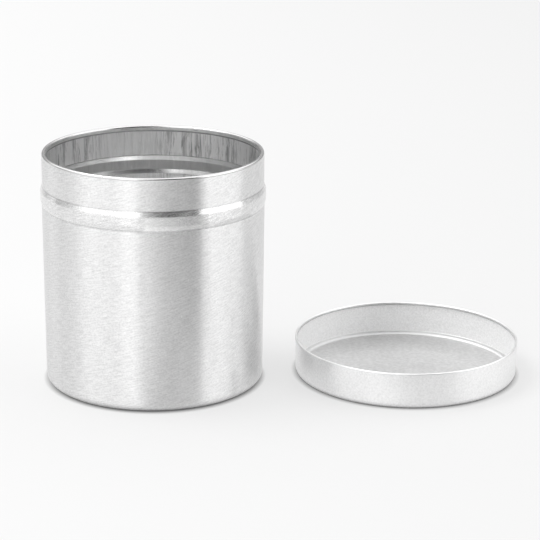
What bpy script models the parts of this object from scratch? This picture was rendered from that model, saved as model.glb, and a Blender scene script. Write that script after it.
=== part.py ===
"""A round slip-lid candle tin, empty: the drawn tin, and its lid lying open side up beside it.

Run it with blender --background --python part.py, or from Blender's text editor.
Units are metres and +Z is up. The origin is the centre of the tin's flat underside, on the table,
and the lid lies towards +X. Both pieces are drawn from thin sheet, so each is turned from the line
that runs down the middle of its sheet, from the centre of the flat end out to the rolled edge.
"""
import math

import bmesh
import bpy

MM = 0.001

# The tin
TIN_HEIGHT = 85.5 * MM
NECK_RADIUS = 40.0 * MM          # outside of the neck that the lid slips over
TIN_SHEET = 0.4 * MM
FOOT_RADIUS = 39.8 * MM          # outside of the wall, just above the bottom corner
SHOULDER_RADIUS = 40.2 * MM      # outside of the wall, just under the bead
BOTTOM_CORNER = 2.8 * MM         # outside radius between the underside and the wall

# The bead round the tin that stops the lid: the depths below the rim at which the wall turns
BEAD_RADIUS = 40.65 * MM
BEAD_TOP = 11.85 * MM
CREST_TOP = 13.65 * MM
CREST_BOTTOM = 17.1 * MM
BEAD_BOTTOM = 18.85 * MM
CREASE_BEND = 0.35 * MM          # radius of the bends at the bead's two creases
CREST_BEND = 2.0 * MM            # radius of the bends at the two edges of its crest

# The tin's edge, rolled inwards and down
TIN_ROLL = 0.5 * MM              # radius of the roll at the middle of the sheet
TIN_ROLL_DROP = 1.0 * MM         # straight stretch between the top of the roll and its hook
TIN_HOOK_ANGLE = 70.0            # degrees that the hook turns back towards the wall

# The lid
LID_HEIGHT = 13.3 * MM
LID_RADIUS = 41.3 * MM           # outside of the skirt at its open edge
LID_SHEET = 0.35 * MM
LID_CORNER_RADIUS = 41.05 * MM   # outside of the skirt just above its shoulder
LID_SHOULDER_HEIGHT = 1.5 * MM   # from the panel's face to the top of its round shoulder
LID_SHOULDER_STEP = 0.15 * MM    # how far the shoulder stands back from the skirt
LID_SHOULDER_WIDTH = 1.2 * MM
LID_ROLL = 0.275 * MM
LID_ROLL_DROP = 0.45 * MM
LID_HOOK_ANGLE = 20.0

# The lid's place: on the table beside the tin, or turned over above it
LID_OFFSET = 93.5 * MM
HOVER_GAP = 1.0 * MM             # left between the tin's rim and the lid held over it

SEGMENTS = 60                    # flats round each piece
SMOOTH_ANGLE = math.radians(35.0)


def arc(centre, radii, start, end, steps):
    """Points on an ellipse round centre, with its radii along r and z, from start to end in degrees."""
    points = []
    for step in range(steps + 1):
        angle = math.radians(start + (end - start) * step / steps)
        points.append((centre[0] + radii[0] * math.cos(angle), centre[1] + radii[1] * math.sin(angle)))
    return points


def bend(before, corner, after, radius, steps):
    """Points on the round bend that takes the place of a line's corner, between two straight stretches."""
    arrive = math.atan2(corner[1] - before[1], corner[0] - before[0])
    leave = math.atan2(after[1] - corner[1], after[0] - corner[0])
    turn = math.remainder(leave - arrive, 2.0 * math.pi)
    reach = radius * math.tan(abs(turn) / 2.0)
    side = math.copysign(radius, turn)
    start = (corner[0] - reach * math.cos(arrive), corner[1] - reach * math.sin(arrive))
    centre = (start[0] - side * math.sin(arrive), start[1] + side * math.cos(arrive))
    headings = [arrive + turn * step / steps for step in range(steps + 1)]
    return [(centre[0] + side * math.sin(angle), centre[1] - side * math.cos(angle)) for angle in headings]


def rolled_edge(wall, top, roll, drop, hook_angle):
    """The sheet's middle line over a rolled edge: up the wall, over, down, and back towards the wall."""
    centre = wall - roll
    over = arc((centre, top - roll), (roll, roll), 0.0, 180.0, 6)
    hook = arc((centre, top - roll - drop), (roll, roll), 180.0, 180.0 + hook_angle, 3)
    return over + hook


def tin_line():
    """The middle of the tin's sheet, from the centre of its floor to the end of its rolled rim."""
    half = TIN_SHEET / 2.0
    corner = BOTTOM_CORNER - half
    foot = arc((FOOT_RADIUS - BOTTOM_CORNER, BOTTOM_CORNER), (corner, corner), -90.0, 0.0, 6)
    under_bead = (SHOULDER_RADIUS - half, TIN_HEIGHT - BEAD_BOTTOM)
    crest_low = (BEAD_RADIUS - half, TIN_HEIGHT - CREST_BOTTOM)
    crest_high = (BEAD_RADIUS - half, TIN_HEIGHT - CREST_TOP)
    neck_low = (NECK_RADIUS - half, TIN_HEIGHT - BEAD_TOP)
    rim = rolled_edge(NECK_RADIUS - half, TIN_HEIGHT - half, TIN_ROLL, TIN_ROLL_DROP, TIN_HOOK_ANGLE)
    return (
        [(0.0, half)] + foot
        + bend(foot[-1], under_bead, crest_low, CREASE_BEND, 1)
        + bend(under_bead, crest_low, crest_high, CREST_BEND, 2)
        + bend(crest_low, crest_high, neck_low, CREST_BEND, 2)
        + bend(crest_high, neck_low, rim[0], CREASE_BEND, 1)
        + rim
    )


def lid_line():
    """The middle of the lid's sheet, from the centre of its panel to the end of its hem, open side up."""
    half = LID_SHEET / 2.0
    shoulder = LID_CORNER_RADIUS - LID_SHOULDER_STEP - half
    rise = LID_SHOULDER_HEIGHT - half
    crease = LID_SHOULDER_HEIGHT + LID_SHOULDER_STEP
    return (
        [(0.0, half)]
        + arc((shoulder - LID_SHOULDER_WIDTH, half + rise), (LID_SHOULDER_WIDTH, rise), -90.0, 0.0, 6)
        + [(LID_CORNER_RADIUS - half, crease)]
        + rolled_edge(LID_RADIUS - half, LID_HEIGHT - half, LID_ROLL, LID_ROLL_DROP, LID_HOOK_ANGLE)
    )


def thicken(line, sheet):
    """The sheet's cross-section: its outer face from the axis to the edge, then its inner face back."""
    half = sheet / 2.0
    outer, inner = [], []
    for index, (r, z) in enumerate(line):
        before = line[max(index - 1, 0)]
        after = line[min(index + 1, len(line) - 1)]
        arrive = math.atan2(z - before[1], r - before[0])
        leave = math.atan2(after[1] - z, after[0] - r)
        if index == 0:
            arrive = leave
        if index == len(line) - 1:
            leave = arrive
        turn = math.remainder(leave - arrive, 2.0 * math.pi)
        heading = arrive + turn / 2.0
        reach = half / math.cos(turn / 2.0)
        across = (math.sin(heading) * reach, -math.cos(heading) * reach)
        outer.append((r + across[0], z + across[1]))
        inner.append((r - across[0], z - across[1]))
    return outer + inner[::-1]


def turn(name, section, material):
    """A closed solid of revolution about Z, from a section whose two ends lie on the axis."""
    shape = bmesh.new()
    points = [shape.verts.new((r, 0.0, z)) for r, z in section]
    edges = [shape.edges.new(pair) for pair in zip(points, points[1:])]
    bmesh.ops.spin(
        shape, geom=points + edges, cent=(0.0, 0.0, 0.0), axis=(0.0, 0.0, 1.0),
        angle=2.0 * math.pi, steps=SEGMENTS, use_merge=True, use_duplicate=False,
    )
    bmesh.ops.remove_doubles(shape, verts=shape.verts[:], dist=0.001 * MM)
    bmesh.ops.recalc_face_normals(shape, faces=shape.faces[:])
    mesh = bpy.data.meshes.new(name)
    shape.to_mesh(mesh)
    shape.free()
    mesh.shade_smooth()
    mesh.set_sharp_from_angle(angle=SMOOTH_ANGLE)
    mesh.materials.append(material)
    piece = bpy.data.objects.new(name, mesh)
    bpy.context.scene.collection.objects.link(piece)
    return piece


def metal(name, colour, roughness):
    material = bpy.data.materials.new(name)
    material.use_nodes = True
    shader = material.node_tree.nodes["Principled BSDF"]
    shader.inputs["Base Color"].default_value = (*colour, 1.0)
    shader.inputs["Metallic"].default_value = 1.0
    shader.inputs["Roughness"].default_value = roughness
    return material


def make_tin():
    brushed = metal("brushed_aluminium", (0.80, 0.80, 0.80), 0.32)
    return turn("tin_body", thicken(tin_line(), TIN_SHEET), brushed)


def make_lid():
    """The lid hangs from an empty on the axis about which it is turned over onto the tin."""
    satin = metal("satin_aluminium", (0.82, 0.82, 0.82), 0.42)
    lid = turn("lid", thicken(lid_line(), LID_SHEET), satin)
    axis = bpy.data.objects.new("lid_turnover", None)
    axis.empty_display_size = 10.0 * MM
    axis.location = (LID_OFFSET / 2.0, 0.0, (TIN_HEIGHT + HOVER_GAP + LID_HEIGHT) / 2.0)
    bpy.context.scene.collection.objects.link(axis)
    lid.parent = axis
    lid.location = (LID_OFFSET / 2.0, 0.0, -axis.location.z)
    return lid


def main():
    for old in list(bpy.data.objects):
        bpy.data.objects.remove(old, do_unlink=True)
    make_tin()
    make_lid()


main()
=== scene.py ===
"""The looks of the candle tin: brushed tin body and satin lid, on a pale table under soft studio light.

Units are metres, +Z is up, and the origin is the centre of the tin's underside, as in the frame.
"""
import math

import bmesh
import bpy
from mathutils import Matrix, Vector


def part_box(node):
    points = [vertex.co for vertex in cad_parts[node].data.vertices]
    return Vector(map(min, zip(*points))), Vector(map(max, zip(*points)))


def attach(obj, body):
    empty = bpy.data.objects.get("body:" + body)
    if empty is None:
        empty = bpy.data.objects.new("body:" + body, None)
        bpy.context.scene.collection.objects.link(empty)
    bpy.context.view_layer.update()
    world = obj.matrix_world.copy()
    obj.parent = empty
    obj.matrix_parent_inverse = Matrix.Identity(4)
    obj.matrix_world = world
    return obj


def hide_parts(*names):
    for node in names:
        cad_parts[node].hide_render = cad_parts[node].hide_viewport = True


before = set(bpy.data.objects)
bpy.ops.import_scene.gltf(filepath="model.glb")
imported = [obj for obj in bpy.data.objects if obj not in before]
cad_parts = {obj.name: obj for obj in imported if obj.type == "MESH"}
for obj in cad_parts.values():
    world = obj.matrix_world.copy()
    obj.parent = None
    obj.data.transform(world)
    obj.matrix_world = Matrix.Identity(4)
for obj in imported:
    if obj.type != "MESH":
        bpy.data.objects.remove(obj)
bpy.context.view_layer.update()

MM = 0.001
TIN_LOW, TIN_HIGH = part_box("tin_body")
LID_LOW, LID_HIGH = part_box("lid")

# The tin, worked out from its CAD box where that gives the size
TIN_HEIGHT = round(TIN_HIGH[2] - TIN_LOW[2], 4)
TIN_SHEET = 0.4 * MM
BEAD_RADIUS = round(TIN_HIGH[0], 5)
BEAD_RISE = 0.65 * MM            # how far the bead stands out from the neck
WALL_FLARE = 0.2 * MM            # the wall is this much narrower at its foot, and wider under the bead
NECK_RADIUS = BEAD_RADIUS - BEAD_RISE
FOOT_RADIUS = NECK_RADIUS - WALL_FLARE
SHOULDER_RADIUS = NECK_RADIUS + WALL_FLARE
BOTTOM_CORNER = 2.8 * MM
BEAD_TOP = 11.85 * MM            # depths below the rim at which the wall turns
CREST_TOP = 13.65 * MM
CREST_BOTTOM = 17.1 * MM
BEAD_BOTTOM = 18.85 * MM
CREASE_BEND = 0.35 * MM
CREST_BEND = 2.0 * MM
TIN_ROLL = 0.5 * MM
TIN_ROLL_DROP = 1.0 * MM
TIN_HOOK_ANGLE = 70.0

# The lid, which lies open side up
LID_CENTRE = (LID_LOW[0] + LID_HIGH[0]) / 2.0
LID_HEIGHT = round(LID_HIGH[2] - LID_LOW[2], 4)
LID_RADIUS = round((LID_HIGH[1] - LID_LOW[1]) / 2.0, 5)
LID_SHEET = 0.35 * MM
LID_FLARE = 0.25 * MM            # the skirt is this much wider at its open edge
LID_CORNER_RADIUS = LID_RADIUS - LID_FLARE
LID_SHOULDER_HEIGHT = 1.5 * MM
LID_SHOULDER_STEP = 0.15 * MM
LID_SHOULDER_WIDTH = 1.2 * MM
LID_ROLL = 0.275 * MM
LID_ROLL_DROP = 0.45 * MM
LID_HOOK_ANGLE = 20.0

# How finely both are made: flats round each, and steps along the stretches and bends of its sheet
FLATS = 288
ROLL_STEPS = 16
HEM_STEPS = 3
HOOK_STEPS = 6
FLOOR_STEPS = 12
FOOT_STEPS = 16
WALL_STEPS = 24
CREASE_STEPS = 5
CREST_STEPS = 8
BEAD_STEPS = (3, 5, 3)           # on its lower slope, its crest and its upper slope
NECK_STEPS = 10
CORNER_STEPS = 18
SKIRT_STEPS = 12
AXIS_REACH = 0.01 * MM           # a point of the cross-section this near the axis is on it
SMOOTH_ANGLE = math.radians(40.0)


# ---------------------------------------------------------------- shapes

def arc(centre, radii, start, end, steps):
    """Points on an ellipse round centre, with its radii along r and z, from start to end in degrees."""
    points = []
    for step in range(steps + 1):
        angle = math.radians(start + (end - start) * step / steps)
        points.append((centre[0] + radii[0] * math.cos(angle), centre[1] + radii[1] * math.sin(angle)))
    return points


def bend(before, corner, after, radius, steps):
    """Points on the round bend that takes the place of a line's corner, between two straight stretches."""
    arrive = math.atan2(corner[1] - before[1], corner[0] - before[0])
    leave = math.atan2(after[1] - corner[1], after[0] - corner[0])
    turn_angle = math.remainder(leave - arrive, 2.0 * math.pi)
    reach = radius * math.tan(abs(turn_angle) / 2.0)
    side = math.copysign(radius, turn_angle)
    start = (corner[0] - reach * math.cos(arrive), corner[1] - reach * math.sin(arrive))
    centre = (start[0] - side * math.sin(arrive), start[1] + side * math.cos(arrive))
    headings = [arrive + turn_angle * step / steps for step in range(steps + 1)]
    return [(centre[0] + side * math.sin(angle), centre[1] - side * math.cos(angle)) for angle in headings]


def straight(low, high, steps):
    """Points inside a straight stretch, closer together at its ends so that its shading stays flat."""
    shares = [0.5 - 0.5 * math.cos(math.pi * step / steps) for step in range(1, steps)]
    return [tuple(a + (b - a) * share for a, b in zip(low, high)) for share in shares]


def rolled_edge(wall, top, roll, drop, hook_angle):
    """The sheet's middle line over a rolled edge, in stretches: over, down, and back towards the wall."""
    centre = wall - roll
    over = arc((centre, top - roll), (roll, roll), 0.0, 180.0, ROLL_STEPS)
    hook = arc((centre, top - roll - drop), (roll, roll), 180.0, 180.0 + hook_angle, HOOK_STEPS)
    down = straight(over[-1], hook[0], HEM_STEPS)
    return [("rim", over), ("hem", down + hook[:1]), ("hook", hook[1:])]


def tin_line():
    """The middle of the tin's sheet in stretches: (name, points), from the centre of its floor outwards."""
    half = TIN_SHEET / 2.0
    corner = BOTTOM_CORNER - half
    foot = arc((FOOT_RADIUS - BOTTOM_CORNER, BOTTOM_CORNER), (corner, corner), -90.0, 0.0, FOOT_STEPS)
    under_bead = (SHOULDER_RADIUS - half, TIN_HEIGHT - BEAD_BOTTOM)
    crest_low = (BEAD_RADIUS - half, TIN_HEIGHT - CREST_BOTTOM)
    crest_high = (BEAD_RADIUS - half, TIN_HEIGHT - CREST_TOP)
    neck_low = (NECK_RADIUS - half, TIN_HEIGHT - BEAD_TOP)
    edge = rolled_edge(NECK_RADIUS - half, TIN_HEIGHT - half, TIN_ROLL, TIN_ROLL_DROP, TIN_HOOK_ANGLE)
    neck_high = edge[0][1][0]
    floor = [(0.0, half)] + straight((0.0, half), foot[0], FLOOR_STEPS)
    bends = [
        bend(foot[-1], under_bead, crest_low, CREASE_BEND, CREASE_STEPS),
        bend(under_bead, crest_low, crest_high, CREST_BEND, CREST_STEPS),
        bend(crest_low, crest_high, neck_low, CREST_BEND, CREST_STEPS),
        bend(crest_high, neck_low, neck_high, CREASE_BEND, CREASE_STEPS),
    ]
    wall = foot + straight(foot[-1], bends[0][0], WALL_STEPS)
    bead = bends[0]
    for turned, steps in zip(bends[1:], BEAD_STEPS):
        bead = bead + straight(bead[-1], turned[0], steps) + turned
    neck = straight(bead[-1], neck_high, NECK_STEPS)
    return [("floor", floor), ("wall", wall), ("bead", bead), ("neck", neck)] + edge


def lid_line():
    """The middle of the lid's sheet in stretches: (name, points), from the centre of its panel outwards."""
    half = LID_SHEET / 2.0
    shoulder = LID_CORNER_RADIUS - LID_SHOULDER_STEP - half
    rise = LID_SHOULDER_HEIGHT - half
    centre = (shoulder - LID_SHOULDER_WIDTH, half + rise)
    corner = arc(centre, (LID_SHOULDER_WIDTH, rise), -90.0, 0.0, CORNER_STEPS)
    crease = (LID_CORNER_RADIUS - half, LID_SHOULDER_HEIGHT + LID_SHOULDER_STEP)
    edge = rolled_edge(LID_RADIUS - half, LID_HEIGHT - half, LID_ROLL, LID_ROLL_DROP, LID_HOOK_ANGLE)
    panel = [(0.0, half)] + straight((0.0, half), corner[0], FLOOR_STEPS)
    skirt = [crease] + straight(crease, edge[0][1][0], SKIRT_STEPS)
    return [("panel", panel), ("corner", corner), ("skirt", skirt)] + edge


def thicken(stretches, sheet):
    """The sheet's cross-section as (r, z, finish): its outer face outwards, then its inner face back."""
    line = [(r, z, name) for name, points in stretches for r, z in points]
    half = sheet / 2.0
    outer, inner = [], []
    for index, (r, z, name) in enumerate(line):
        before = line[max(index - 1, 0)]
        after = line[min(index + 1, len(line) - 1)]
        arrive = math.atan2(z - before[1], r - before[0])
        leave = math.atan2(after[1] - z, after[0] - r)
        if index == 0:
            arrive = leave
        if index == len(line) - 1:
            leave = arrive
        turn_angle = math.remainder(leave - arrive, 2.0 * math.pi)
        heading = arrive + turn_angle / 2.0
        reach = half / math.cos(turn_angle / 2.0)
        across = (math.sin(heading) * reach, -math.cos(heading) * reach)
        outer.append((r + across[0], z + across[1], name + "_outside"))
        inner.append((r - across[0], z - across[1], name + "_inside"))
    return outer + inner[::-1]


def turn(name, section, finishes, centre=0.0):
    """A closed solid of revolution, with each stretch of its section in its own finish."""
    slots = list(dict.fromkeys(finishes.values()))
    shape = bmesh.new()
    rings = []
    for r, z, _ in section:
        angles = [math.tau * i / FLATS for i in range(1 if r < AXIS_REACH else FLATS)]
        rings.append([shape.verts.new((r * math.cos(angle), r * math.sin(angle), z)) for angle in angles])
    for index, (lower, upper) in enumerate(zip(rings, rings[1:])):
        slot = slots.index(finishes[section[index + 1][2]])
        for i in range(FLATS):
            j = (i + 1) % FLATS
            low_pair = [lower[i % len(lower)], lower[j % len(lower)]]
            high_pair = [upper[j % len(upper)], upper[i % len(upper)]]
            face = shape.faces.new(list(dict.fromkeys(low_pair + high_pair)))
            face.material_index = slot
            face.smooth = True
    bmesh.ops.recalc_face_normals(shape, faces=shape.faces[:])
    mesh = bpy.data.meshes.new(name)
    shape.to_mesh(mesh)
    shape.free()
    mesh.set_sharp_from_angle(angle=SMOOTH_ANGLE)
    for material in slots:
        mesh.materials.append(material)
    piece = bpy.data.objects.new(name, mesh)
    piece.location = (centre, 0.0, 0.0)
    bpy.context.scene.collection.objects.link(piece)
    return piece


# ---------------------------------------------------------------- materials

NOISE_REACH = (0.3, 0.7)         # where nearly all of a noise's values lie

# How deep each finish's bumps are
PRESSED_DEPTH = 0.002 * MM
FINE_DEPTH = 0.003 * MM
WORN_DEPTH = 0.004 * MM
GROOVE_DEPTH = 0.008 * MM
DRAWN_DEPTH = 0.02 * MM


class Nodes:
    """A short way to write a node tree: each call adds its nodes and returns the last one's output."""

    def __init__(self, tree):
        self.tree = tree

    def add(self, kind, inputs=(), output=0, **settings):
        node = self.tree.nodes.new(kind)
        for key, value in settings.items():
            setattr(node, key, value)
        for key, value in dict(inputs).items():
            if isinstance(value, bpy.types.NodeSocket):
                self.tree.links.new(value, node.inputs[key])
            else:
                node.inputs[key].default_value = value
        return node.outputs[output]

    def math(self, operation, first, second=0.0):
        return self.add("ShaderNodeMath", {0: first, 1: second}, operation=operation)

    def place(self, scale):
        """Object coordinates, scaled along each axis: waves per metre."""
        coordinates = self.add("ShaderNodeTexCoord", output="Object")
        return self.add("ShaderNodeMapping", {"Vector": coordinates, "Scale": scale})

    def axes(self, coordinates="Object"):
        """The x, y and z of a place on the piece, or in a world, with "Generated", of the ray."""
        parts = self.tree.nodes.new("ShaderNodeSeparateXYZ")
        self.tree.links.new(self.add("ShaderNodeTexCoord", output=coordinates), parts.inputs[0])
        return parts.outputs

    def bearing(self, coordinates="Object"):
        """The bearing round the vertical axis in radians: 0 towards -Y, positive towards +X."""
        x, y, _ = self.axes(coordinates)
        return self.math("ARCTAN2", x, self.math("MULTIPLY", y, -1.0))

    def noise(self, scale, detail=3.0, rough=0.5, distortion=0.0):
        """Noise from 0 to 1; scale is its waves per metre along each axis."""
        return self.add("ShaderNodeTexNoise", {
            "Vector": self.place(scale), "Scale": 1.0,
            "Detail": detail, "Roughness": rough, "Distortion": distortion,
        })

    def wrapped_noise(self, around, up, slant, detail=2.0):
        """Noise on the tin's unrolled wall, its waves climbing aslant; around and up are waves per metre."""
        along = self.math("MULTIPLY", self.bearing(), NECK_RADIUS)
        height = self.math("SUBTRACT", self.axes()[2], self.math("MULTIPLY", along, slant))
        unrolled = {0: self.math("MULTIPLY", along, around), 1: self.math("MULTIPLY", height, up)}
        place = self.add("ShaderNodeCombineXYZ", unrolled)
        return self.add("ShaderNodeTexNoise", {"Vector": place, "Scale": 1.0, "Detail": detail})

    def span(self, value, low, high, to_low=0.0, to_high=1.0, **settings):
        """value's span from low to high, stretched to another span and held at its ends."""
        spans = {"Value": value, "From Min": low, "From Max": high, "To Min": to_low, "To Max": to_high}
        return self.add("ShaderNodeMapRange", spans, **settings)

    def spread(self, noise, low, high):
        """A noise, stretched to lie between low and high."""
        return self.span(noise, *NOISE_REACH, low, high)

    def grey(self, value):
        return self.add("ShaderNodeCombineColor", {0: value, 1: value, 2: value})

    def mix(self, factor, first, second):
        """The first colour where factor is 0, the second where it is 1."""
        return self.add("ShaderNodeMix", {0: factor, 6: first, 7: second}, output=2, data_type="RGBA")


def metal(name, build, anisotropy=0.0, rotation=0.0):
    """A metal whose build function returns its brightness, roughness and bump height."""
    material = bpy.data.materials.new(name)
    material.use_nodes = True
    tree = material.node_tree
    shader = tree.nodes["Principled BSDF"]
    nodes = Nodes(tree)
    tone, roughness, height, depth = build(nodes)
    shader.inputs["Metallic"].default_value = 1.0
    shader.inputs["Anisotropic"].default_value = anisotropy
    shader.inputs["Anisotropic Rotation"].default_value = rotation
    tree.links.new(nodes.grey(tone), shader.inputs["Base Color"])
    tree.links.new(roughness, shader.inputs["Roughness"])
    bump = nodes.add("ShaderNodeBump", {"Height": height, "Distance": depth, "Strength": 1.0})
    tree.links.new(bump, shader.inputs["Normal"])
    if anisotropy:
        tangent = nodes.add("ShaderNodeTangent", direction_type="RADIAL", axis="Z")
        tree.links.new(tangent, shader.inputs["Tangent"])
    return material


CREASE_SHADE_REACH = (0.10 * MM, 0.45 * MM)   # painted shade: how far from a crease it begins to thin, and where it ends
CREASE_SHADE_TONE = 0.80                     # the share of its brightness that the metal keeps in a crease, under the painted shade


def painted_crease_shade(nodes):
    """Painted shade: the share of its brightness that the metal keeps, which is less beside the bead's two
    creases.
    """
    height = nodes.axes()[2]
    away = [
        nodes.math("ABSOLUTE", nodes.math("SUBTRACT", height, TIN_HEIGHT - depth))
        for depth in (BEAD_TOP, BEAD_BOTTOM)
    ]
    return nodes.span(nodes.math("MINIMUM", *away), *CREASE_SHADE_REACH, CREASE_SHADE_TONE, 1.0)


# The brushing, as settings of its noises: the slant is how far a stroke climbs as it goes round
STROKES = {"around": 250.0, "up": 2100.0, "slant": 0.29, "detail": 2.0}
SCRATCHES = {"around": 75.0, "up": 2600.0, "slant": 0.22, "detail": 1.0}
FIBRES = {"scale": (330.0, 330.0, 2600.0), "detail": 2.0, "rough": 0.6}
SAND = {"scale": (1500.0, 1500.0, 2000.0), "detail": 1.0}
SPECKS = {"scale": (760.0, 760.0, 760.0), "detail": 0.0}
CLOUD = {"scale": (60.0, 60.0, 60.0), "detail": 2.0}
STROKE_SHARE = 0.85              # the share of the grain that slants; the rest lies level
GRAIN_REACH = (0.35, 0.65)       # where nearly all of the grain's values lie
GRAIN_TONE = (0.73, 0.87)
GRAIN_ROUGHNESS = (-0.015, 0.015)
SAND_TONE = (-0.07, 0.07)
SAND_HEIGHT = 0.3                # the height of the fine sand beside the grain's
SCRATCH_REACH = (0.74, 0.80)     # how high the noise has to rise to make a scratch, or a speck
SPECK_REACH = (0.84, 0.88)
SCRATCH_TONE = 0.08              # the brightness that a scratch adds, and a speck
SPECK_TONE = 0.12


def brushing(nodes, smoothest, roughest):
    """Grain brushed round the wall: slanting strokes, level fibres, fine sand, specks and thin scratches."""
    fibres = nodes.math("MULTIPLY", nodes.noise(**FIBRES), 1.0 - STROKE_SHARE)
    strokes = nodes.math("MULTIPLY", nodes.wrapped_noise(**STROKES), STROKE_SHARE)
    grain = nodes.math("ADD", fibres, strokes)
    sand = nodes.noise(**SAND)
    scratch = nodes.span(nodes.wrapped_noise(**SCRATCHES), *SCRATCH_REACH)
    speck = nodes.span(nodes.noise(**SPECKS), *SPECK_REACH)
    tone = nodes.math("ADD", nodes.span(grain, *GRAIN_REACH, *GRAIN_TONE), nodes.spread(sand, *SAND_TONE))
    tone = nodes.math("ADD", tone, nodes.math("MULTIPLY", scratch, SCRATCH_TONE))
    tone = nodes.math("ADD", tone, nodes.math("MULTIPLY", speck, SPECK_TONE))
    # painted shade beside the bead's two creases darkens the brushing
    tone = nodes.math("MULTIPLY", tone, painted_crease_shade(nodes))
    even = nodes.spread(nodes.noise(**CLOUD), smoothest, roughest)
    roughness = nodes.math("ADD", even, nodes.span(grain, *GRAIN_REACH, *GRAIN_ROUGHNESS))
    height = nodes.math("ADD", grain, nodes.math("MULTIPLY", sand, SAND_HEIGHT))
    return tone, roughness, height, FINE_DEPTH


def brushed_wall(nodes):
    """The brushing as it is on the wall and the neck."""
    return brushing(nodes, 0.30, 0.33)


def brushed_bead(nodes):
    """The same brushing, pressed smoother by the roller that formed the bead."""
    return brushing(nodes, 0.23, 0.26)


# The smooth stretch inside the tin: the bearing of its middle, half its width, and half the fade at its ends
SMOOTH_BEARING = math.radians(-167.0)
SMOOTH_HALF = math.radians(19.0)
SMOOTH_FADE = math.radians(4.0)
SMOOTH_MARKS = 0.25              # the strength of the drawing marks there


def smooth_stretch(nodes):
    """1 on the smooth stretch round the back left of the tin's inside, 0 on the rest of it."""
    turned = nodes.math("SUBTRACT", nodes.bearing(), SMOOTH_BEARING)
    away = nodes.math("ARCCOSINE", nodes.math("COSINE", turned))
    return nodes.span(away, SMOOTH_HALF - SMOOTH_FADE, SMOOTH_HALF + SMOOTH_FADE, 1.0, 0.0)


# The marks that drawing left down the inside of the tin
STREAKS = {"scale": (1150.0, 1150.0, 95.0), "detail": 4.0, "rough": 0.75, "distortion": 1.1}
STREAK_REACH = (0.34, 0.66)
STREAK_MARKS = (-0.8, 0.8)       # how strongly the streaks mark the metal, and the broad marks
BROAD = {"scale": (420.0, 420.0, 40.0), "detail": 2.0, "rough": 0.5, "distortion": 0.6}
BROAD_REACH = (0.35, 0.65)
BROAD_MARKS = (-0.4, 0.4)
DARK_MARKS = (-0.80, 0.10)       # marks from the darkest to where the metal is bright
DARK_TONE = 0.47


def drawn_inside(nodes):
    """Marks drawn down the inside of the wall, wavering a little, with one smoother stretch."""
    streaks = nodes.span(nodes.noise(**STREAKS), *STREAK_REACH, *STREAK_MARKS)
    broad = nodes.span(nodes.noise(**BROAD), *BROAD_REACH, *BROAD_MARKS)
    strength = nodes.span(smooth_stretch(nodes), 0.0, 1.0, 1.0, SMOOTH_MARKS)
    marks = nodes.math("MULTIPLY", nodes.math("ADD", streaks, broad), strength)
    tone = nodes.span(marks, *DARK_MARKS, DARK_TONE, 1.0)
    roughness = nodes.span(marks, -1.0, 1.0, 0.28, 0.38)
    return tone, roughness, marks, DRAWN_DEPTH


MOTTLING = {"scale": (160.0, 160.0, 160.0), "detail": 4.0, "rough": 0.6}
ROLLED_GRAIN = {"scale": (60.0, 2600.0, 60.0), "detail": 2.0}
MOTTLING_HEIGHT = 0.8            # the height of the mottling beside the grain's


def plain_floor(nodes):
    """The flat end of the sheet, with the straight grain and the soft mottling of rolled metal."""
    mottling = nodes.noise(**MOTTLING)
    height = nodes.math("ADD", nodes.noise(**ROLLED_GRAIN), nodes.math("MULTIPLY", mottling, MOTTLING_HEIGHT))
    return nodes.spread(mottling, 0.88, 0.95), nodes.spread(mottling, 0.34, 0.44), height, FINE_DEPTH


SATIN = {"scale": (1500.0, 1500.0, 1500.0), "detail": 2.0, "rough": 0.6}
SOFT_CLOUD = {"scale": (110.0, 110.0, 110.0), "detail": 3.0}
PANEL_MOTTLING = {"scale": (700.0, 700.0, 700.0), "detail": 4.0, "rough": 0.62}
CLOUD_TONE = (-0.02, 0.02)       # the brightness that the lid's soft clouds take away and add


def satin_skirt(nodes):
    """The lid's satin skirt: an even, fine grain with no direction."""
    grain = nodes.noise(**SATIN)
    cloud = nodes.noise(**SOFT_CLOUD)
    tone = nodes.math("ADD", nodes.spread(grain, 0.84, 0.97), nodes.spread(cloud, *CLOUD_TONE))
    return tone, nodes.spread(cloud, 0.35, 0.39), grain, FINE_DEPTH


def satin_panel(nodes):
    """The lid's panel: satin, faintly mottled."""
    mottling = nodes.noise(**PANEL_MOTTLING)
    cloud = nodes.spread(nodes.noise(**CLOUD), *CLOUD_TONE)
    tone = nodes.math("ADD", nodes.spread(mottling, 0.53, 0.67), cloud)
    return tone, nodes.spread(mottling, 0.44, 0.50), mottling, WORN_DEPTH


def even_finish(wear, tones, roughnesses, depth):
    """A finish whose brightness, roughness and bump all follow one noise."""
    def build(nodes):
        noise = nodes.noise(**wear)
        return nodes.spread(noise, *tones), nodes.spread(noise, *roughnesses), noise, depth
    return build


# The simpler finishes: the noise of each, then its brightness, its roughness and its depth
RUBBED = {"scale": (260.0, 260.0, 900.0), "detail": 3.0, "rough": 0.6}
WORN = {"scale": (500.0, 500.0, 500.0), "detail": 3.0, "rough": 0.6}
WORN_ROUND = {"scale": (500.0, 500.0, 1200.0), "detail": 3.0, "rough": 0.6}
CUT = {"scale": (700.0, 700.0, 700.0), "detail": 2.0}
PRESSED = {"scale": (300.0, 300.0, 300.0), "detail": 2.0}

# The inside of the bead, pressed smooth, with what is left of the drawing marks
drawn_groove = even_finish(STREAKS, (0.48, 0.64), (0.14, 0.19), GROOVE_DEPTH)
# The tin's rolled edge, rubbed smooth by the tool that rolled it, and the lid's, satin like its skirt
burnished_rim = even_finish(RUBBED, (0.62, 0.70), (0.15, 0.21), FINE_DEPTH)
satin_rim = even_finish(WORN, (0.80, 0.88), (0.34, 0.42), FINE_DEPTH)
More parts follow.
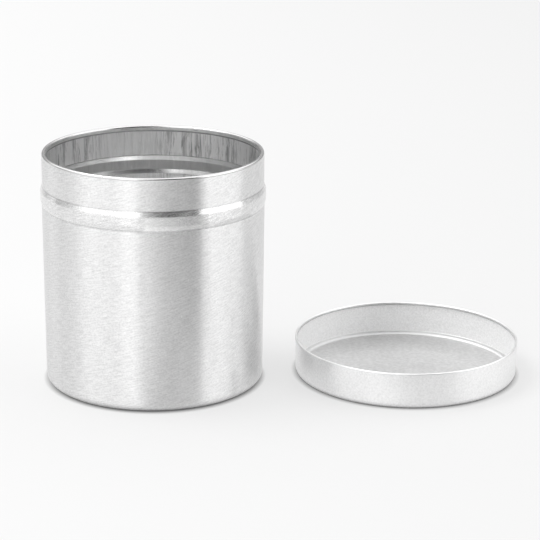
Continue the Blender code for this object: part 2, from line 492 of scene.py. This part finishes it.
# The turned-down side of a rolled edge, a little dirty, and under it the sheet's cut edge, which with the
# roll's inside is darkened as painted shade for the shadowed crevice under the hem
dull_hem = even_finish(WORN_ROUND, (0.70, 0.84), (0.32, 0.42), WORN_DEPTH)
painted_shade_edge = even_finish(CUT, (0.30, 0.42), (0.45, 0.55), WORN_DEPTH)
# The inside of the lid's skirt, a duller satin, and the ring where it turns into the panel
satin_inside = even_finish(SATIN, (0.89, 1.0), (0.70, 0.78), FINE_DEPTH)
bright_corner = even_finish(PRESSED, (0.70, 0.76), (0.52, 0.58), PRESSED_DEPTH)


# ---------------------------------------------------------------- pieces

QUARTER_TURN = 0.25              # of the tangent, so that reflections blur up and down across the brushing


def make_tin():
    """The tin, on the fixed body."""
    wall = metal("brushed_wall", brushed_wall, anisotropy=1.0, rotation=QUARTER_TURN)
    bead = metal("brushed_bead", brushed_bead, anisotropy=1.0, rotation=QUARTER_TURN)
    drawn = metal("drawn_inside", drawn_inside, anisotropy=0.4)
    groove = metal("drawn_groove", drawn_groove)
    rim = metal("burnished_rim", burnished_rim)
    hem = metal("dull_hem", dull_hem)
    # painted shade: the dark finish on the inside of the rolled edge and on its cut edge
    edge = metal("painted_shade_edge", painted_shade_edge)
    floor = metal("plain_floor", plain_floor)
    finishes = {
        "floor_outside": floor, "wall_outside": wall, "bead_outside": bead, "neck_outside": wall,
        "rim_outside": rim, "hem_outside": hem, "hook_outside": edge,
        "floor_inside": floor, "wall_inside": drawn, "bead_inside": groove, "neck_inside": drawn,
        "rim_inside": edge, "hem_inside": edge, "hook_inside": edge,
    }
    tin = turn("tin", thicken(tin_line(), TIN_SHEET), finishes)
    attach(tin, "tin")
    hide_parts("tin_body")


def make_lid():
    """The lid, open side up beside the tin, on the body that turns over."""
    skirt = metal("satin_skirt", satin_skirt, anisotropy=0.6, rotation=QUARTER_TURN)
    inside = metal("satin_inside", satin_inside)
    panel = metal("satin_panel", satin_panel)
    corner = metal("bright_corner", bright_corner)
    rim = metal("satin_rim", satin_rim)
    hem = metal("dull_lid_hem", dull_hem)
    # painted shade: the dark finish on the inside of the lid's rolled edge and on its cut edge
    edge = metal("painted_shade_lid_edge", painted_shade_edge)
    finishes = {
        "panel_outside": panel, "corner_outside": skirt, "skirt_outside": skirt,
        "rim_outside": rim, "hem_outside": hem, "hook_outside": edge,
        "panel_inside": panel, "corner_inside": corner, "skirt_inside": inside,
        "rim_inside": edge, "hem_inside": edge, "hook_inside": edge,
    }
    lid = turn("slip_lid", thicken(lid_line(), LID_SHEET), finishes, LID_CENTRE)
    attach(lid, "lid")
    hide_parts("lid")


# ---------------------------------------------------------------- stage

LIGHT_BOUNCES = 16               # enough for light to find its way out of the tin
FLOOR_HALF = 3.0
FLOOR_DROP = 0.05 * MM           # how far the table's top lies under the tin and the lid
FLOOR_TONE = 0.26
FLOOR_ROUGHNESS = 0.7
PAINTED_FLOOR_LIGHT = (0.59, 0.52)        # painted light, a glow from the table itself that lightens its shadows, at its left and right
PAINTED_LIGHT_REACH = (-0.15, 0.30)       # where those two are
CONTACT_SHADE_REACH = 2.2 * MM               # how near a piece has to be to darken that painted light as painted contact shade
CONTACT_SHADE_SAMPLES = 16


def make_floor():
    """The table's top, a flat square, glowing with painted light that is darkened near the pieces as painted
    contact shade.
    """
    shape = bmesh.new()
    bmesh.ops.create_grid(shape, x_segments=1, y_segments=1, size=FLOOR_HALF)
    mesh = bpy.data.meshes.new("table_top")
    shape.to_mesh(mesh)
    shape.free()
    material = bpy.data.materials.new("pale_table")
    material.use_nodes = True
    shader = material.node_tree.nodes["Principled BSDF"]
    shader.inputs["Base Color"].default_value = (FLOOR_TONE, FLOOR_TONE, FLOOR_TONE, 1.0)
    shader.inputs["Roughness"].default_value = FLOOR_ROUGHNESS
    shader.inputs["Specular IOR Level"].default_value = 0.0
    shader.inputs["Emission Color"].default_value = (1.0, 1.0, 1.0, 1.0)
    nodes = Nodes(material.node_tree)
    contact = {"Distance": CONTACT_SHADE_REACH}
    open_above = nodes.add("ShaderNodeAmbientOcclusion", contact, output="AO", samples=CONTACT_SHADE_SAMPLES)
    # painted light from the table, darker near the pieces as painted contact shade
    painted_light = nodes.math("MULTIPLY", open_above, nodes.span(nodes.axes()[0], *PAINTED_LIGHT_REACH, *PAINTED_FLOOR_LIGHT))
    material.node_tree.links.new(painted_light, shader.inputs["Emission Strength"])
    mesh.materials.append(material)
    floor = bpy.data.objects.new("table_top", mesh)
    floor.location = (0.0, 0.0, -FLOOR_DROP)
    bpy.context.scene.collection.objects.link(floor)


# The studio's walls as seen from the table: bearing (0 is towards -Y, 90 towards +X), brightness, and the
# elevation at which the wall gives way to the ceiling, with both angles in degrees. In front, a little to the
# right, the studio is dark, and highest.
STUDIO_WALLS = (
    (-180.0, 0.55, 30.0), (-152.0, 0.40, 24.0), (-138.0, 0.42, 22.0), (-132.0, 0.80, 22.0),
    (-120.0, 0.84, 22.0), (-116.0, 0.42, 24.0), (-100.0, 0.52, 24.0), (-88.0, 0.80, 26.0),
    (-74.0, 1.35, 30.0), (-56.0, 1.27, 35.0), (-42.0, 1.30, 35.0), (-30.0, 2.00, 35.0),
    (-21.0, 2.00, 40.0), (-11.0, 0.42, 40.0), (2.0, 0.10, 55.0), (12.0, 0.02, 60.0),
    (26.0, 0.02, 60.0), (38.0, 0.02, 42.0), (46.5, 0.02, 40.0), (50.5, 1.95, 30.0),
    (96.0, 1.75, 30.0), (104.0, 0.68, 28.0), (122.0, 0.62, 24.0), (145.0, 0.42, 24.0),
    (180.0, 0.55, 30.0),
)
WALL_FADE = 8.0                  # degrees that the change to the ceiling takes, above and below
CEILING = (1.50, 1.50, 1.50, 1.0)
BACKDROP = (0.94, 0.94, 0.94, 1.0)     # what the camera sees beyond the table


def wall_ramp(nodes, share, levels):
    """A level for each row of STUDIO_WALLS, blended over the share of the way round."""
    ramp = nodes.tree.nodes.new("ShaderNodeValToRGB")
    ramp.color_ramp.interpolation = "LINEAR"
    stops = ramp.color_ramp.elements
    stops.remove(stops[-1])
    for index, (row, level) in enumerate(zip(STUDIO_WALLS, levels)):
        position = (row[0] + 180.0) / 360.0
        stop = stops[0] if index == 0 else stops.new(position)
        stop.position = position
        stop.color = (level, level, level, 1.0)
    nodes.tree.links.new(share, ramp.inputs[0])
    return ramp.outputs[0]


def make_world():
    """The studio's walls and ceiling, and behind the table, for the camera alone, a plain backdrop."""
    world = bpy.data.worlds.new("studio")
    world.use_nodes = True
    bpy.context.scene.world = world
    nodes = Nodes(world.node_tree)
    share = nodes.span(nodes.bearing("Generated"), -math.pi, math.pi)
    walls = wall_ramp(nodes, share, [level for _, level, _ in STUDIO_WALLS])
    top = wall_ramp(nodes, share, [math.radians(elevation) for _, _, elevation in STUDIO_WALLS])
    above = nodes.math("SUBTRACT", nodes.math("ARCSINE", nodes.axes("Generated")[2]), top)
    fade = math.radians(WALL_FADE)
    blend = nodes.span(above, -fade, fade, interpolation_type="SMOOTHSTEP")
    seen = nodes.add("ShaderNodeLightPath", output="Is Camera Ray")
    shown = nodes.mix(seen, nodes.mix(blend, walls, CEILING), BACKDROP)
    world.node_tree.links.new(shown, world.node_tree.nodes["Background"].inputs["Color"])


KEY_BEARING = -100.0             # degrees
KEY_ELEVATION = 60.0
KEY_DISTANCE = 2.4
KEY_SIZE = 1.2
KEY_POWER = 17.0


def make_key():
    """The main light: a round soft box, up on the left."""
    lamp = bpy.data.lights.new("key", "AREA")
    lamp.shape = "DISK"
    lamp.size = KEY_SIZE
    lamp.energy = KEY_POWER
    bearing, elevation = math.radians(KEY_BEARING), math.radians(KEY_ELEVATION)
    across = math.cos(elevation)
    towards = Vector((across * math.sin(bearing), -across * math.cos(bearing), math.sin(elevation)))
    key = bpy.data.objects.new("key", lamp)
    key.location = towards * KEY_DISTANCE
    key.rotation_mode = "QUATERNION"
    key.rotation_quaternion = towards.to_track_quat("Z", "Y")
    bpy.context.scene.collection.objects.link(key)


# A grey card just above the table in front, which only reflections see
CARD_REACH = (92.0 * MM, 1.8)    # how near and how far from the tin's axis it reaches
CARD_HEIGHT = 3.0 * MM           # above the reach of the table's painted contact shade
CARD_BEARINGS = (-10.0, 34.0, 52.0)
CARD_TONES = (0.84, 0.42)        # at the first bearing, and from the second to the third


def make_card():
    """The card, a fan with its point under the tin's axis."""
    shape = bmesh.new()
    rows = []
    for bearing in CARD_BEARINGS:
        angle = math.radians(bearing)
        rows.append([
            shape.verts.new((radius * math.sin(angle), -radius * math.cos(angle), 0.0))
            for radius in CARD_REACH
        ])
    for (a, b), (c, d) in zip(rows, rows[1:]):
        shape.faces.new([a, b, d, c])
    mesh = bpy.data.meshes.new("grey_card")
    shape.to_mesh(mesh)
    shape.free()
    material = bpy.data.materials.new("grey_card")
    material.use_nodes = True
    tree = material.node_tree
    nodes = Nodes(tree)
    first, second, _ = [math.radians(bearing) for bearing in CARD_BEARINGS]
    tone = nodes.span(nodes.bearing(), first, second, *CARD_TONES)
    shader = tree.nodes["Principled BSDF"]
    tree.links.new(nodes.grey(tone), shader.inputs["Base Color"])
    shader.inputs["Roughness"].default_value = 1.0
    shader.inputs["Specular IOR Level"].default_value = 0.0
    mesh.materials.append(material)
    card = bpy.data.objects.new("grey_card", mesh)
    card.location = (0.0, 0.0, CARD_HEIGHT)
    card.visible_camera = False
    card.visible_diffuse = False
    card.visible_shadow = False
    bpy.context.scene.collection.objects.link(card)


# The camera, fitted to the rim, the bead, the foot and the lid
CAMERA_PLACE = (-0.01476, -0.73077, 0.26785)
CAMERA_HEADING = 4.479           # degrees towards +X from straight along +Y
CAMERA_DIP = 17.278              # degrees down from level
CAMERA_ROLL = 0.498              # degrees
CAMERA_LENS = 139.4              # millimetres
CAMERA_SENSOR = 36.0
CAMERA_CLIP = (0.05, 20.0)


def make_camera():
    camera = bpy.data.objects.new("camera", bpy.data.cameras.new("camera"))
    camera.data.sensor_width = CAMERA_SENSOR
    camera.data.lens = CAMERA_LENS
    camera.data.clip_start, camera.data.clip_end = CAMERA_CLIP
    turn_right = Matrix.Rotation(-math.radians(CAMERA_HEADING), 4, "Z")
    dip = Matrix.Rotation(math.radians(90.0 - CAMERA_DIP), 4, "X")
    roll = Matrix.Rotation(math.radians(CAMERA_ROLL), 4, "Z")
    camera.matrix_world = Matrix.Translation(Vector(CAMERA_PLACE)) @ turn_right @ dip @ roll
    bpy.context.scene.collection.objects.link(camera)
    bpy.context.scene.camera = camera


make_tin()
make_lid()
make_floor()
make_key()
make_card()
make_world()
make_camera()
bpy.context.scene.view_settings.view_transform = "Standard"
bpy.context.scene.cycles.max_bounces = LIGHT_BOUNCES
bpy.context.scene.cycles.glossy_bounces = LIGHT_BOUNCES
